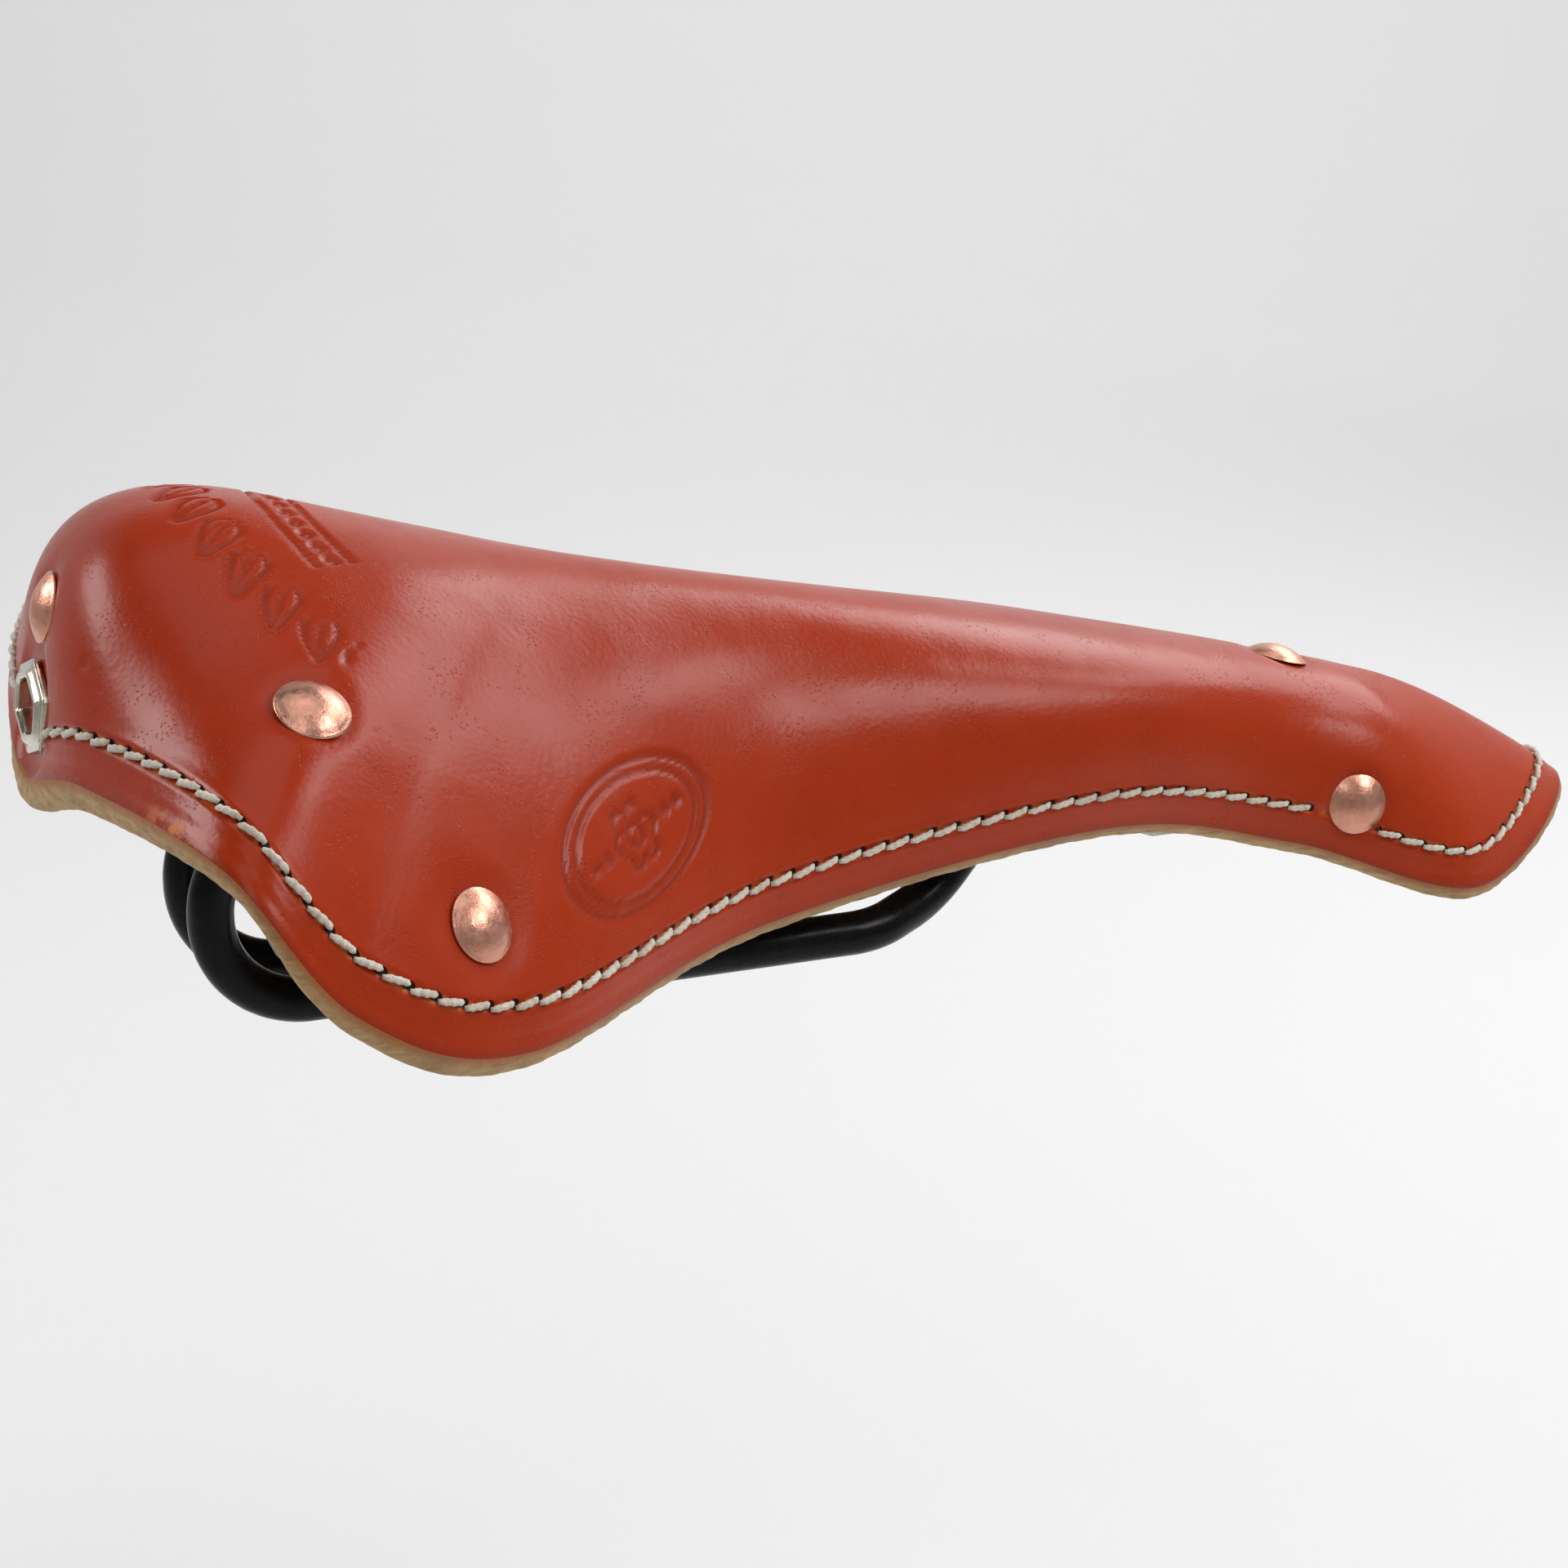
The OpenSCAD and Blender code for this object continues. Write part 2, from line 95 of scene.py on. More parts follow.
def slope(a, b, c, d, u):
    return 0.5 * ((c - a) + 2 * (2 * a - 5 * b + 4 * c - d) * u + 3 * (3 * b - a - 3 * c + d) * u * u)


def pick(i, c):
    j = np.mod(i, 2 * LAST)
    over = j > LAST
    return STATIONS[np.where(over, 2 * LAST - j, j), c] * np.where(over & (c == 1), -1, 1)


def col(t, c, f=spline):
    x = t * LAST
    k = np.floor(x).astype(int)
    return f(pick(k - 1, c), pick(k, c), pick(k + 1, c), pick(k + 2, c), x - k)


def ridge_at(i):
    n = len(RIDGE) - 1
    return np.where(i < 0, RIDGE[0] + i * (RIDGE[1] - RIDGE[0]),
                    np.where(i > n, RIDGE[n] + (i - n) * (RIDGE[n] - RIDGE[n - 1]), RIDGE[np.clip(i, 0, n)]))


def ridge(x, f=spline):
    y = (x - 30) / 35
    k = np.floor(y).astype(int)
    return f(ridge_at(k - 1), ridge_at(k), ridge_at(k + 1), ridge_at(k + 2), y - k)


def face(t, s):
    """Points of the outer face in mm, t round the rim and s from the ridge to the rim."""
    t, s = np.broadcast_arrays(np.asarray(t, float), np.asarray(s, float))
    ex, ey, ez, sx, a, b = [col(t, c) for c in range(6)]
    lean = np.radians(col(t, 6))
    ey = -ey
    sz, sl = ridge(sx), ridge(sx, slope) / 35
    ox, oy = ex - sx, ey
    r = np.hypot(ox, oy)
    ox, oy = ox / r, oy / r
    tx, ty = col(t, 0, slope), col(t, 1, slope)
    r = np.hypot(tx, ty)
    nx, ny = -ty / r, -tx / r
    p0 = np.stack([sx, 0 * sx, sz], -1)
    p1 = np.stack([sx + a * ox, a * oy, sz + a * ox * sl], -1)
    p3 = np.stack([ex, ey, ez], -1)
    p2 = p3 + b[..., None] * np.stack([nx * np.sin(lean), ny * np.sin(lean), np.cos(lean)], -1)
    s = s[..., None]
    p = (1 - s) ** 3 * p0 + 3 * (1 - s) ** 2 * s * p1 + 3 * (1 - s) * s * s * p2 + s ** 3 * p3
    return p + np.array([REAR_X, 0, BASE_Z])


def normal(t, s):
    t, s = np.broadcast_arrays(np.asarray(t, float), np.asarray(s, float))
    n = np.cross(face(t, s + 0.002) - face(t, s - 0.002), face(t + 0.001, s) - face(t - 0.001, s))
    n /= np.maximum(np.linalg.norm(n, axis=-1)[..., None], 1e-12)
    x = col(t, 3)
    up = np.stack([-ridge(x, slope) / 35, 0 * x, 1 + 0 * x], -1)
    up /= np.linalg.norm(up, axis=-1)[..., None]
    k = np.clip(s / 0.03, 0, 1)[..., None]
    n = up * (1 - k) + n * k
    return n / np.linalg.norm(n, axis=-1)[..., None]


def seam_s(t):
    """Section place 10 mm from the cut edge."""
    t = np.asarray(t, float)
    lo, hi = np.full(t.shape, 0.5), np.full(t.shape, 1.0)
    edge = face(t, 1.0)
    for _ in range(14):
        mid = (lo + hi) / 2
        far = np.linalg.norm(edge - face(t, mid), axis=-1) > 10
        lo, hi = np.where(far, mid, lo), np.where(far, hi, mid)
    return (lo + hi) / 2


def smooth(x, a, b):
    k = np.clip((x - a) / (b - a), 0, 1)
    return k * k * (3 - 2 * k)


def bell(x, w):
    return np.exp(-(x / w) ** 2)


# ------------------------------------------------------------------ mesh helpers
def make(name, verts, faces, material, smooth_angle=None, attributes=None, face_material=None):
    me = bpy.data.meshes.new(name)
    me.from_pydata((np.asarray(verts, float) * MM).tolist(), [], [list(map(int, f)) for f in faces])
    me.validate()
    me.shade_smooth()
    for m in material if isinstance(material, (list, tuple)) else [material]:
        me.materials.append(m)
    if face_material is not None:
        me.polygons.foreach_set("material_index", np.asarray(face_material, np.int32))
    for key, values in (attributes or {}).items():
        at = me.attributes.new(key, "FLOAT", "POINT")
        at.data.foreach_set("value", np.asarray(values, np.float32).ravel())
    if smooth_angle is not None:
        me.set_sharp_from_angle(angle=math.radians(smooth_angle))
    ob = bpy.data.objects.new(name, me)
    bpy.context.scene.collection.objects.link(ob)
    return ob


def grid_faces(n, m, loop_n=False, loop_m=False, start=0, flip=False):
    i = np.arange(n if loop_n else n - 1)[:, None]
    j = np.arange(m if loop_m else m - 1)[None, :]
    i2, j2 = (i + 1) % n, (j + 1) % m
    f = np.stack([i * m + j, i2 * m + j, i2 * m + j2, i * m + j2], -1).reshape(-1, 4) + start
    return f[:, ::-1] if flip else f


def joined(parts):
    """One list of vertices and faces from several."""
    vs, fs, base = [], [], 0
    for v, f in parts:
        vs.append(np.asarray(v, float))
        fs += [[int(i) + base for i in q] for q in f]
        base += len(v)
    return np.concatenate(vs), fs


def lathe(profile, sides=64):
    """Profile rows are (radius, height); a radius of 0 closes the end, and equal end rows close the ring."""
    profile = np.array(profile, float)
    ring = bool((profile[0] == profile[-1]).all())
    profile = profile[:-1] if ring else profile
    a = np.arange(sides) * 2 * np.pi / sides
    v, f, rings = [], [], []
    for r, z in profile:
        rings.append((len(v), r))
        if r == 0:
            v.append((0, 0, z))
        else:
            v += [(r * math.cos(k), r * math.sin(k), z) for k in a]
    for (p, rp), (q, rq) in zip(rings, rings[1:] + rings[:1] * ring):
        for k in range(sides):
            l = (k + 1) % sides
            if rp == 0 and rq == 0:
                continue
            if rp == 0:
                f.append([p, q + l, q + k])
            elif rq == 0:
                f.append([p + k, p + l, q])
            else:
                f.append([p + k, p + l, q + l, q + k])
    return np.array(v), f


def basis(n, up=(0, 0, 1)):
    """Rows are X, Y and Z axes with Z along n."""
    n = np.asarray(n, float) / np.linalg.norm(n)
    x = np.cross(up, n)
    if np.linalg.norm(x) < 1e-3:
        x = np.cross((0, 1, 0), n)
    x /= np.linalg.norm(x)
    return np.array([x, np.cross(n, x), n])


def on_face(v, t, s, lift=0.0):
    n = normal(np.array([t]), np.array([s]))[0]
    return np.asarray(v) @ basis(n) + face(np.array([t]), np.array([s]))[0] + lift * n


def tube(line, radius, sides=12, twist=0.0, lobes=0, depth=0.0):
    """Sweeps a round or lobed section along a line of points and closes both ends."""
    line = np.asarray(line, float)
    d = np.gradient(line, axis=0)
    d /= np.linalg.norm(d, axis=1)[:, None]
    x = np.cross(d[0], (0.3, 0.9, 0.31))
    x /= np.linalg.norm(x)
    run = np.r_[0, np.cumsum(np.linalg.norm(np.diff(line, axis=0), axis=1))]
    a = np.arange(sides) * 2 * np.pi / sides
    rows = []
    radius = np.broadcast_to(radius, (len(line),))
    for i, p in enumerate(line):
        x = x - (x @ d[i]) * d[i]
        x /= np.linalg.norm(x)
        y = np.cross(d[i], x)
        lobe = np.cos(lobes * (a - twist * run[i])) - 1 if lobes else 0 * a
        r = radius[i] * (1 + depth * lobe)
        rows.append(p + (r * np.cos(a))[:, None] * x + (r * np.sin(a))[:, None] * y)
    v = np.concatenate(rows)
    f = grid_faces(len(line), sides, loop_m=True, flip=True).tolist()
    return v, f + [list(range(sides))[::-1], list(range(len(v) - sides, len(v)))]


def bent(path, step=3.0):
    """Centreline of a wire bent at corners; path rows are (corner, bend radius)."""
    p = [np.array(q[0], float) for q in path]
    out = [p[0]]
    for i in range(1, len(p) - 1):
        u, v = p[i] - p[i - 1], p[i + 1] - p[i]
        u, v = u / np.linalg.norm(u), v / np.linalg.norm(v)
        turn, r = math.acos(u @ v), path[i][1]
        c = p[i] + (v - u) / np.linalg.norm(v - u) * r / math.cos(turn / 2)
        x = (p[i] - u * r * math.tan(turn / 2) - c) / r
        n = max(3, math.ceil(math.degrees(turn) / step))
        out += [c + r * (math.cos(turn * k / n) * x + math.sin(turn * k / n) * u) for k in range(n + 1)]
    return np.array(out + [p[-1]])


# ------------------------------------------------------------------ materials
class Mat:
    """A node material with short helpers."""

    def __init__(self, name):
        self.m = bpy.data.materials.new(name)
        self.m.use_nodes = True
        self.t = self.m.node_tree
        self.p = self.t.nodes["Principled BSDF"]

    def new(self, kind, **settings):
        n = self.t.nodes.new("ShaderNode" + kind)
        for k, v in settings.items():
            setattr(n, k, v)
        return n

    def put(self, socket, value):
        if hasattr(value, "links") or isinstance(value, bpy.types.NodeSocket):
            self.t.links.new(value, socket)
        else:
            socket.default_value = value

    def set(self, **values):
        for k, v in values.items():
            self.put(self.p.inputs[k.replace("_", " ")], v)

    def coords(self):
        return self.new("TexCoord").outputs["Object"]

    def attribute(self, name):
        return self.new("Attribute", attribute_name=name, attribute_type="GEOMETRY").outputs["Fac"]

    def math(self, op, a, b=0.0, c=0.0, clamp=False):
        n = self.new("Math", operation=op, use_clamp=clamp)
        for i, v in enumerate((a, b, c)):
            self.put(n.inputs[i], v)
        return n.outputs[0]

    def noise(self, scale, detail=3.0, rough=0.5, vector=None, distortion=0.0):
        n = self.new("TexNoise")
        n.inputs["Scale"].default_value = scale
        n.inputs["Detail"].default_value = detail
        n.inputs["Roughness"].default_value = rough
        n.inputs["Distortion"].default_value = distortion
        self.put(n.inputs["Vector"], vector if vector is not None else self.coords())
        return n.outputs["Fac"]

    def cells(self, scale, feature="F1", vector=None, random=1.0):
        n = self.new("TexVoronoi", feature=feature)
        n.inputs["Scale"].default_value = scale
        n.inputs["Randomness"].default_value = random
        self.put(n.inputs["Vector"], vector if vector is not None else self.coords())
        return n.outputs["Distance"]

    def ramp(self, x, *stops):
        n = self.new("ValToRGB")
        e = n.color_ramp.elements
        while len(e) < len(stops):
            e.new(0.5)
        for q, (at, c) in zip(e, stops):
            q.position = at
            q.color = (c, c, c, 1) if isinstance(c, (int, float)) else (*c, 1)
        self.put(n.inputs[0], x)
        return n.outputs[0]

    def range(self, x, a, b, c=0.0, d=1.0):
        n = self.new("MapRange", interpolation_type="SMOOTHSTEP")
        for i, v in enumerate((x, a, b, c, d)):
            self.put(n.inputs[i], v)
        return n.outputs[0]

    def mix(self, f, a, b, blend="MIX"):
        n = self.new("Mix", data_type="RGBA", blend_type=blend)
        self.put(n.inputs[0], f)
        for i, v in ((6, a), (7, b)):
            self.put(n.inputs[i], (*v, 1) if isinstance(v, tuple) and len(v) == 3 else v)
        return n.outputs[2]

    def bump(self, *layers):
        """Layers are (height, distance in metres), finest last."""
        last = None
        for height, distance in layers:
            n = self.new("Bump")
            n.inputs["Strength"].default_value = 1.0
            n.inputs["Distance"].default_value = distance
            self.put(n.inputs["Height"], height)
            if last is not None:
                self.put(n.inputs["Normal"], last)
            last = n.outputs[0]
        self.put(self.p.inputs["Normal"], last)

    def stretched(self, sx, sy, sz):
        n = self.new("Mapping")
        n.inputs["Scale"].default_value = (sx, sy, sz)
        self.put(n.inputs["Vector"], self.coords())
        return n.outputs[0]


def leather_material():
    k = Mat("leather_dyed")
    broad = k.noise(9, 4, 0.55)
    cloud = k.noise(38, 5, 0.6)
    fine = k.noise(900, 3, 0.6)
    colour = k.mix(k.range(broad, 0.3, 0.7), (0.36, 0.023, 0.0012), (0.45, 0.036, 0.0022))
    colour = k.mix(k.math("MULTIPLY", k.range(cloud, 0.45, 0.75), 0.35), colour, (0.29, 0.017, 0.001))
    # darker dye along the edge and in the tooling; painted shade round the rivets, in their dimples
    edge = k.attribute("edge_near")
    colour = k.mix(k.math("MULTIPLY", edge, 0.45), colour, (0.20, 0.022, 0.006))
    tool = k.attribute("tooling")
    colour = k.mix(k.math("MULTIPLY", tool, 0.55), colour, (0.22, 0.022, 0.006))
    # painted shade round each rivet, where the leather dips into its dimple
    rivet_shade = k.attribute("rivet_dimple_shade")
    colour = k.mix(k.math("MULTIPLY", rivet_shade, 0.35), colour, (0.30, 0.03, 0.007))
    # small pores
    pore = k.range(k.cells(1500), 0.12, 0.3, 1.0, 0.0)
    pore = k.math("MULTIPLY", pore, k.range(k.noise(160, 2), 0.5, 0.62))
    colour = k.mix(k.math("MULTIPLY", pore, 0.25), colour, (0.2, 0.02, 0.005))
    # seam: orange rubbed flanks beside the thread, and needle holes painted near-black as the shade inside
    # them
    u, v = k.attribute("seam_run"), k.attribute("seam_side")
    near = k.range(k.math("ABSOLUTE", v), 0.5, 1.25, 1.0, 0.0)
    rub = k.math("MULTIPLY", near, k.range(k.noise(300, 2), 0.42, 0.6))
    on = k.attribute("seam_on")
    colour = k.mix(k.math("MULTIPLY", k.math("MULTIPLY", rub, on), 0.7), colour, (0.62, 0.17, 0.03))
    step = k.math("SUBTRACT", k.math("FRACT", k.math("ADD", u, 0.5)), 0.5)
    hx = k.math("MULTIPLY", step, 4.61)
    hy = k.math("ADD", v, 0.28)
    hole = k.math("SQRT", k.math("ADD", k.math("MULTIPLY", hx, hx),
                                 k.math("MULTIPLY", k.math("MULTIPLY", hy, hy), 2.2)))
    hole = k.math("MULTIPLY", k.range(hole, 0.75, 1.15, 1.0, 0.0), on)
    # painted shade: each needle hole near-black
    colour = k.mix(hole, colour, (0.008, 0.004, 0.002))
    # a scuff by the rear edge on the right
    scuff = k.math("MULTIPLY", k.attribute("scuff"), k.range(k.noise(420, 4, 0.7), 0.46, 0.6))
    colour = k.mix(k.math("MULTIPLY", scuff, 0.9), colour, (0.72, 0.24, 0.05))
    rough = k.range(k.noise(55, 4, 0.6), 0.3, 0.75, 0.25, 0.34)
    rough = k.math("ADD", rough, k.math("MULTIPLY", scuff, 0.3))
    rough = k.math("ADD", rough, k.math("MULTIPLY", tool, 0.08))
    k.set(Base_Color=colour, Roughness=rough, Coat_Weight=0.06, Coat_Roughness=0.2, IOR=1.4,
          Specular_IOR_Level=0.3)
    grain = k.math("ADD", k.math("MULTIPLY", k.cells(1100), 0.5), k.math("MULTIPLY", fine, 0.7))
    follicle = k.math("MULTIPLY", pore, -1.0)
    k.bump((k.noise(22, 3, 0.5), 0.0012), (k.math("MULTIPLY", hole, -1.0), 0.0005), (follicle, 0.00008),
           (grain, 0.00004))
    return k.m


def cut_edge_material():
    k = Mat("leather_cut_edge")
    layer = k.noise(300, 4, 0.65, k.stretched(1, 1, 4))
    colour = k.ramp(layer, (0.3, (0.31, 0.17, 0.06)), (0.52, (0.47, 0.29, 0.12)), (0.75, (0.56, 0.38, 0.18)))
    stain = k.range(k.attribute("depth"), 0.0, 0.16, 1.0, 0.0)
    colour = k.mix(k.math("MULTIPLY", stain, 0.85), colour, (0.36, 0.10, 0.02))
    grime = k.range(k.noise(40, 4, 0.6), 0.52, 0.72)
    colour = k.mix(k.math("MULTIPLY", grime, 0.45), colour, (0.24, 0.13, 0.06))
    k.set(Base_Color=colour, Roughness=0.85, Sheen_Weight=0.1, Sheen_Roughness=0.6)
    k.bump((k.noise(700, 4, 0.7), 0.0003), (k.noise(2600, 3, 0.7), 0.00012))
    return k.m


def flesh_material():
    k = Mat("leather_flesh_side")
    nap = k.noise(520, 6, 0.7, distortion=0.4)
    colour = k.ramp(nap, (0.3, (0.30, 0.15, 0.065)), (0.55, (0.43, 0.24, 0.11)), (0.8, (0.52, 0.32, 0.17)))
    colour = k.mix(k.math("MULTIPLY", k.range(k.noise(14, 4), 0.45, 0.7), 0.4), colour, (0.27, 0.12, 0.05))
    k.set(Base_Color=colour, Roughness=0.92, Sheen_Weight=0.3, Sheen_Roughness=0.5)
    k.bump((k.noise(120, 4, 0.6), 0.0006), (nap, 0.0004))
    return k.m


def thread_material():
    k = Mat("waxed_thread")
    fibre = k.noise(1500, 4, 0.65)
    colour = k.ramp(fibre, (0.3, (0.50, 0.43, 0.33)), (0.55, (0.74, 0.69, 0.59)), (0.8, (0.86, 0.82, 0.75)))
    colour = k.mix(k.math("MULTIPLY", k.range(k.noise(90, 2), 0.5, 0.7), 0.35), colour, (0.42, 0.27, 0.16))
    k.set(Base_Color=colour, Roughness=0.7, Sheen_Weight=0.2)
    k.bump((fibre, 0.00016), (k.noise(4200, 2), 0.00006))
    return k.m


def copper_material():
    k = Mat("copper_satin")
    colour = k.mix(k.range(k.noise(260, 4, 0.6), 0.35, 0.7), (0.72, 0.36, 0.26), (0.62, 0.28, 0.19))
    tarnish = k.range(k.noise(700, 5, 0.7), 0.58, 0.74)
    colour = k.mix(k.math("MULTIPLY", tarnish, 0.5), colour, (0.42, 0.17, 0.10))
    rough = k.range(k.noise(900, 4), 0.3, 0.7, 0.26, 0.42)
    k.set(Base_Color=colour, Metallic=1.0, Roughness=rough)
    k.bump((k.noise(420, 3, 0.6), 0.00016), (k.noise(3800, 2, 0.6), 0.00003))
    return k.m


def metal(name, a, b, low, high, scale=300, stretch=None, bump=0.00006, metallic=1.0, coat=0.0, spots=None):
    """Plated, painted or bare metal: two colours, a range of roughness, the grain and darker spots."""
    k = Mat(name)
    where = k.stretched(*stretch) if stretch else None
    grain = k.noise(scale, 5, 0.6, where)
    colour = k.mix(k.range(grain, 0.35, 0.7), a, b)
    if spots:
        colour = k.mix(k.math("MULTIPLY", k.range(k.noise(120, 5, 0.7), 0.6, 0.75), 0.6), colour, spots)
    rough = k.range(k.noise(scale * 1.7, 4), 0.3, 0.7, low, high)
    k.set(Base_Color=colour, Metallic=metallic, Roughness=rough, Coat_Weight=coat, Coat_Roughness=0.12,
          Specular_IOR_Level=0.5 if metallic else 0.12)
    k.bump((k.noise(60, 3), bump * 2), (grain, bump))
    return k.m


LEATHER, EDGE, FLESH = leather_material(), cut_edge_material(), flesh_material()
THREAD, COPPER = thread_material(), copper_material()
NICKEL = metal("nickel_plated", (0.70, 0.66, 0.56), (0.60, 0.56, 0.46), 0.14, 0.26, 500,
               spots=(0.36, 0.30, 0.2))
BLACK = metal("black_paint_gloss", (0.0035, 0.0035, 0.004), (0.006, 0.006, 0.0065), 0.22, 0.32, 240,
              bump=0.00005, metallic=0.0, coat=0.02)
STEEL = metal("pressed_steel_dark", (0.20, 0.20, 0.205), (0.13, 0.13, 0.135), 0.34, 0.5, 220, (1, 6, 1),
              spots=(0.10, 0.07, 0.05))
ZINC = metal("yellow_zinc", (0.72, 0.56, 0.24), (0.60, 0.50, 0.30), 0.22, 0.38, 260, spots=(0.42, 0.40, 0.30))
PLAIN_ZINC = metal("plain_zinc", (0.62, 0.62, 0.61), (0.50, 0.51, 0.52), 0.26, 0.4, 320)

# ------------------------------------------------------------------ leather top
ARC_N = 900
fine_t = np.linspace(-1, 1, 4001)
rim = face(fine_t, 1.0)
rim_run = np.r_[0, np.cumsum(np.linalg.norm(np.diff(rim, axis=0), axis=1))]
ts = np.interp(np.arange(ARC_N) * rim_run[-1] / ARC_N, rim_run, fine_t)

seam_start = 0.045
seam_t = np.linspace(seam_start, 2 - seam_start, 2400)
seam_pts = face(seam_t, seam_s(seam_t))
seam_run = np.r_[0, np.cumsum(np.linalg.norm(np.diff(seam_pts, axis=0), axis=1))]
STITCHES = int(seam_run[-1] // 4.6)
STEP = seam_run[-1] / STITCHES

rivet_points = [face(np.array([t]), np.array([s]))[0] for t, s in REAR_RIVETS + NOSE_RIVETS]


def section_run(t, n=240):
    """Arc length down each section, from the rim upwards, at n steps of s."""
    s = np.linspace(0, 1, n)
    p = face(t[:, None], s[None, :])
    d = np.linalg.norm(np.diff(p, axis=1), axis=2)
    up = np.concatenate([np.cumsum(d[:, ::-1], axis=1)[:, ::-1], np.zeros((len(t), 1))], axis=1)
    return s, up


def rosette(x, y):
    """A plain tooled double oval with a rosette; x and y in mm, result 0 to 1."""
    r1 = np.hypot(x / 17.0, y / 9.6)
    ring = bell((r1 - 1) * 12, 0.6) + 0.9 * bell((r1 - 0.84) * 12, 0.5)
    a = np.arctan2(y, x)
    r = np.hypot(x, y)
    petal = 4.9 * (0.62 + 0.38 * np.abs(np.cos(3 * a)))
    leaf = bell(r - petal, 0.55) + bell(r - 1.6, 0.5)
    rays = bell(np.sin(3 * a) * r, 0.45) * smooth(r, 2.0, 2.8) * (1 - smooth(r, 3.8, 4.6))
    dots = sum(bell(np.hypot(np.abs(x) - u, y) - 0.7, 0.4) for u in (7.6, 10.6))
    return np.clip(ring + leaf + 0.8 * rays + dots, 0, 1)


def tooled_band(x, y):
    """A row of slanted leaf punches across the rear of the top, with a short beaded arc in front of it."""
    cx, r0 = -9.6, 64.7
    r = np.hypot(x - cx, y)
    a = np.arctan2(y, cx - x)
    inside = 1 - smooth(np.abs(a), math.radians(38), math.radians(38.6))
    short = 1 - smooth(np.abs(a), math.radians(22.5), math.radians(23))
    bead = np.mod(a * 51 + 1.6, 3.2) - 1.6
    beads = bell(np.hypot(bead, r - 51) - 0.8, 0.42) + bell(np.abs(r - 51) - 3.0, 0.42)
    step = 7.6 / r0
    k = np.mod(a + step / 2, step) - step / 2
    u, v = k * r0, r - r0
    p, q = u * 0.8 + v * 0.6, -u * 0.6 + v * 0.8
    half = 2.1 * np.sqrt(np.clip(1 - (q / 5.0) ** 2, 0, 1)) * (1 - 0.13 * q)
    leaf = bell(np.abs(p) - half, 0.45) * (np.abs(q) < 5.0)
    leaf = leaf + 0.8 * bell(p, 0.34) * (1 - smooth(np.abs(q), 3.0, 4.2))
    return np.clip(leaf * (np.abs(v) < 5.6) * inside + beads * short, 0, 1)


emblem_at = [face(np.array([g * 0.487]), np.array([0.6]))[0] for g in (1, -1)]
emblem_n = [normal(np.array([g * 0.487]), np.array([0.6]))[0] for g in (1, -1)]


